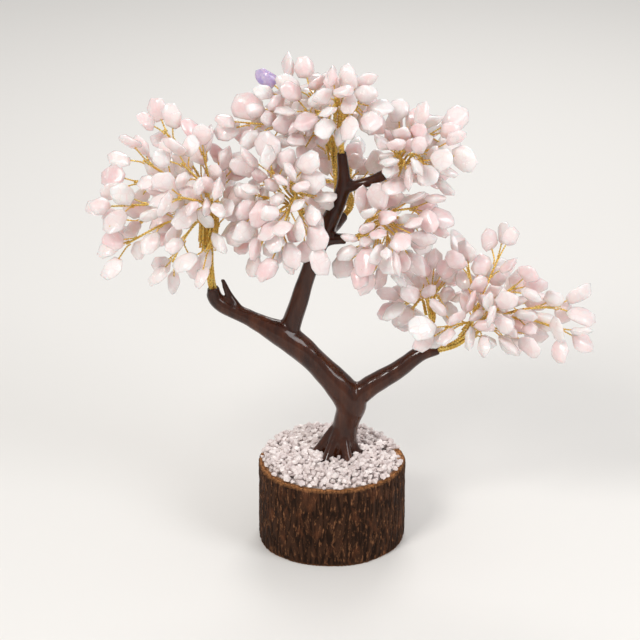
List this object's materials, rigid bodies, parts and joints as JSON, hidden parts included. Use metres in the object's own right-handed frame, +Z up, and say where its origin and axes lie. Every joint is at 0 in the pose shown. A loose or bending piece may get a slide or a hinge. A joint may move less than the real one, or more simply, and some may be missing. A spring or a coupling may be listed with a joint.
{
  "type": "gemstone tree ornament",
  "caption": "Table ornament shaped as a small tree: rose quartz chips on twisted brass wire twigs, set in a glossy forked trunk on a bark-edged log slice with crushed quartz.",
  "frame": {"origin": "middle of the log slice's underside, on the surface that it stands on", "axes": "+Z up, +X to the right as seen from the front, the front faces -Y"},
  "size_m": [0.2714, 0.1196, 0.2752],
  "materials": {
    "wood": "bare cut wood",
    "bark": "rough bark",
    "glue": "clear set glue",
    "clear_quartz": "crushed, glassy",
    "trunk": "glossy lacquer",
    "brass_wire": "bright twisted wire",
    "rose_quartz": "tumbled, translucent",
    "amethyst": "tumbled, translucent"
  },
  "bodies": {
    "tree": {"wood_disc": "wood", "bark_ring": "bark", "glue_bed": "glue", "quartz_gravel": "clear_quartz", "trunk": "trunk", "left_wire_bundle": "brass_wire", "mid_left_wire_bundle": "brass_wire", "top_left_wire_bundle": "brass_wire", "top_wire_bundle": "brass_wire", "top_right_wire_bundle": "brass_wire", "mid_right_wire_bundle": "brass_wire", "right_wire_bundle": "brass_wire", "right_upper_wire_bundle": "brass_wire", "back_wire_bundle": "brass_wire"},
    "left_crown": {"left_wires": "brass_wire", "left_chips": "rose_quartz"},
    "mid_left_crown": {"mid_left_wires": "brass_wire", "mid_left_chips": "rose_quartz"},
    "top_left_crown": {"top_left_wires": "brass_wire", "top_left_chips": "rose_quartz", "amethyst_chip": "amethyst"},
    "top_crown": {"top_wires": "brass_wire", "top_chips": "rose_quartz"},
    "top_right_crown": {"top_right_wires": "brass_wire", "top_right_chips": "rose_quartz"},
    "mid_right_crown": {"mid_right_wires": "brass_wire", "mid_right_chips": "rose_quartz"},
    "right_crown": {"right_wires": "brass_wire", "right_chips": "rose_quartz"},
    "right_upper_crown": {"right_upper_wires": "brass_wire", "right_upper_chips": "rose_quartz"},
    "back_crown": {"back_wires": "brass_wire", "back_chips": "rose_quartz"}
  },
  "joints": [
    {"name": "left_bend", "type": "hinge", "parent": "tree", "child": "left_crown", "pos_m": [-0.0636, 0, 0.1635], "axis": [0, -1, 0], "range_deg": [0, 14], "deforming": ["left_wire_bundle"]},
    {"name": "mid_left_bend", "type": "hinge", "parent": "tree", "child": "mid_left_crown", "pos_m": [-0.0172, -0.005, 0.1923], "axis": [0.8749, -0.4289, 0.225], "range_deg": [0, 10], "deforming": ["mid_left_wire_bundle"]},
    {"name": "top_left_bend", "type": "hinge", "parent": "tree", "child": "top_left_crown", "pos_m": [0.0013, 0.0098, 0.209], "axis": [-0.9536, -0.3011, 0], "range_deg": [0, 8], "deforming": ["top_left_wire_bundle"]},
    {"name": "top_bend", "type": "hinge", "parent": "tree", "child": "top_crown", "pos_m": [0.0048, -0.0015, 0.2325], "axis": [1, 0, 0], "range_deg": [0, 12], "deforming": ["top_wire_bundle"]},
    {"name": "top_right_bend", "type": "hinge", "parent": "tree", "child": "top_right_crown", "pos_m": [0.0308, -0.0044, 0.2138], "axis": [-0.7828, 0, 0.6222], "range_deg": [0, 12], "deforming": ["top_right_wire_bundle"]},
    {"name": "mid_right_bend", "type": "hinge", "parent": "tree", "child": "mid_right_crown", "pos_m": [0.0119, -0.0067, 0.1789], "axis": [0.6112, 0, -0.7915], "range_deg": [0, 18], "deforming": ["mid_right_wire_bundle"]},
    {"name": "right_bend", "type": "hinge", "parent": "tree", "child": "right_crown", "pos_m": [0.0643, -0.0023, 0.1166], "axis": [0.1801, 0.9705, 0.1601], "range_deg": [0, 24], "deforming": ["right_wire_bundle"]},
    {"name": "right_upper_bend", "type": "hinge", "parent": "tree", "child": "right_upper_crown", "pos_m": [0.052, 0.0032, 0.1251], "axis": [-0.8664, -0.4802, 0.1371], "range_deg": [0, 24], "deforming": ["right_upper_wire_bundle"]},
    {"name": "back_bend", "type": "hinge", "parent": "tree", "child": "back_crown", "pos_m": [0.0075, 0.0189, 0.1847], "axis": [-0.9656, 0.2359, -0.109], "range_deg": [0, 24], "deforming": ["back_wire_bundle"]}
  ]
}
